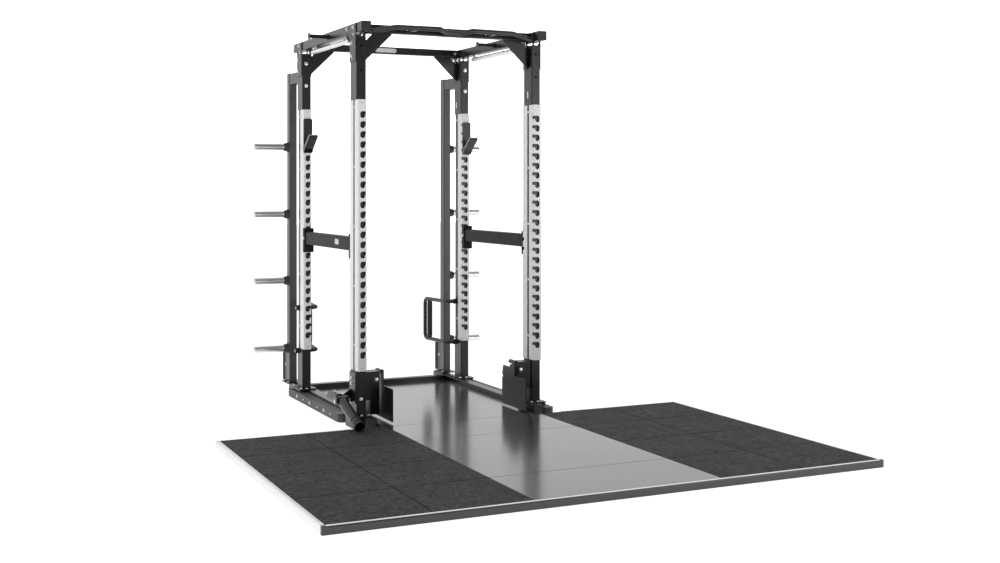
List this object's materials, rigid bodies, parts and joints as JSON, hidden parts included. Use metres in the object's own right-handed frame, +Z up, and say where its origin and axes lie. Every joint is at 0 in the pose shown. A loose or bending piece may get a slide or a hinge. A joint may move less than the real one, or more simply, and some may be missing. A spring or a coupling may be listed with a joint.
{
  "type": "power rack with lifting platform",
  "caption": "Four-column power rack with slotted white channels, plate pegs, grab handles and a swinging T-bar socket, on a lifting platform of glossy wood between rubber tiles.",
  "frame": {"origin": "middle of the bounding box on the floor", "axes": "+Z up, +Y from the platform's front edge to the storage posts, +X to the right seen from the front"},
  "size_m": [3.08, 3.886, 2.488],
  "materials": {
    "deck_board": "plain plywood, matt",
    "platform_lacquer": "black lacquered wood, glossy",
    "speckled_rubber": "pressed rubber granulate, matt",
    "front_edging": "grey anodised with a bright lip",
    "pale_edging": "pale anodised, satin",
    "edging_cap": "pale grey, matt",
    "black_frame": "black powder coat, satin",
    "charcoal_frame": "charcoal powder coat, satin",
    "white_channel": "white powder coat, satin",
    "step_tread": "dark grey ribbed tread",
    "zinc": "zinc plated",
    "chrome_tube": "polished chrome",
    "black_plastic": "black moulded plastic",
    "black_grip": "textured grip coating",
    "pale_liner": "pale grey wear strip"
  },
  "bodies": {
    "rack": {"band_pegs": "black_frame", "bar_holders": "black_frame", "base_beam_left": "black_frame", "base_beam_rear": "black_frame", "base_beam_right": "black_frame", "beam_end_caps": "black_plastic", "channel_clips": "zinc", "channel_rear_left": "white_channel", "channel_rear_right": "white_channel", "channels_front_left": "white_channel", "channels_front_right": "white_channel", "chin_bar_clamps": "black_frame", "chin_up_bar": "black_grip", "column_feet": "black_frame", "column_front_left": "black_frame", "column_front_right": "black_frame", "column_rear_left": "black_frame", "column_rear_right": "black_frame", "corner_gussets": "black_frame", "corner_plates": "black_frame", "edge_profile_front": "front_edging", "edge_profiles_side": "pale_edging", "foot_plate_hinge_blocks": "black_frame", "frame_bolts": "zinc", "front_crossbeam": "black_frame", "grab_handle_left": "black_grip", "grab_handle_right": "black_grip", "handle_knobs": "black_plastic", "peg_collars": "black_plastic", "plate_pegs_left": "chrome_tube", "plate_pegs_right": "chrome_tube", "profile_corner_caps": "edging_cap", "rear_crossbeam": "black_frame", "rubber_tiles_left": "speckled_rubber", "rubber_tiles_right": "speckled_rubber", "side_beam_left": "black_frame", "side_beam_right": "black_frame", "side_grip_bars": "chrome_tube", "socket_bracket": "black_frame", "step_plate_left": "step_tread", "step_plate_right": "step_tread", "storage_arms": "black_frame", "storage_post_left": "charcoal_frame", "storage_post_right": "charcoal_frame", "subfloor_boards": "deck_board", "wood_panels": "platform_lacquer"},
    "left_bar_hook": {"j_hook_left": "black_frame", "j_hook_liner_left": "pale_liner"},
    "right_bar_hook": {"j_hook_right": "black_frame", "j_hook_liner_right": "pale_liner"},
    "left_safety": {"safety_beam_left": "black_frame", "safety_brackets_left": "black_frame"},
    "right_safety": {"safety_beam_right": "black_frame", "safety_brackets_right": "black_frame"},
    "socket_swivel": {"socket_head": "black_frame", "socket_cross_bolt": "zinc"},
    "bar_socket": {"socket_tube": "black_frame"},
    "left_foot_plate": {"foot_plate_left": "black_frame"},
    "right_foot_plate": {"foot_plate_right": "black_frame"}
  },
  "joints": [
    {"name": "left_bar_hook_lift", "type": "slide", "parent": "rack", "child": "left_bar_hook", "axis": [0, 0, 1], "range_m": [0, 0.02]},
    {"name": "right_bar_hook_lift", "type": "slide", "parent": "rack", "child": "right_bar_hook", "axis": [0, 0, 1], "range_m": [0, 0.02]},
    {"name": "left_safety_lift", "type": "slide", "parent": "rack", "child": "left_safety", "axis": [0, 0, 1], "range_m": [0, 0.02]},
    {"name": "right_safety_lift", "type": "slide", "parent": "rack", "child": "right_safety", "axis": [0, 0, 1], "range_m": [0, 0.02]},
    {"name": "socket_swing", "type": "hinge", "parent": "rack", "child": "socket_swivel", "pos_m": [-0.72, 0.407, 0.175], "axis": [0, 1, 0], "range_deg": [-60, 15]},
    {"name": "socket_tilt", "type": "hinge", "parent": "socket_swivel", "child": "bar_socket", "pos_m": [-0.72, 0.277, 0.175], "axis": [-1, 0, 0], "range_deg": [0, 90]},
    {"name": "left_foot_plate_fold", "type": "hinge", "parent": "rack", "child": "left_foot_plate", "pos_m": [-0.462, 0.323, 0.337], "axis": [0, -1, 0], "range_deg": [0, 90]},
    {"name": "right_foot_plate_fold", "type": "hinge", "parent": "rack", "child": "right_foot_plate", "pos_m": [0.462, 0.323, 0.337], "axis": [0, 1, 0], "range_deg": [0, 90]}
  ]
}
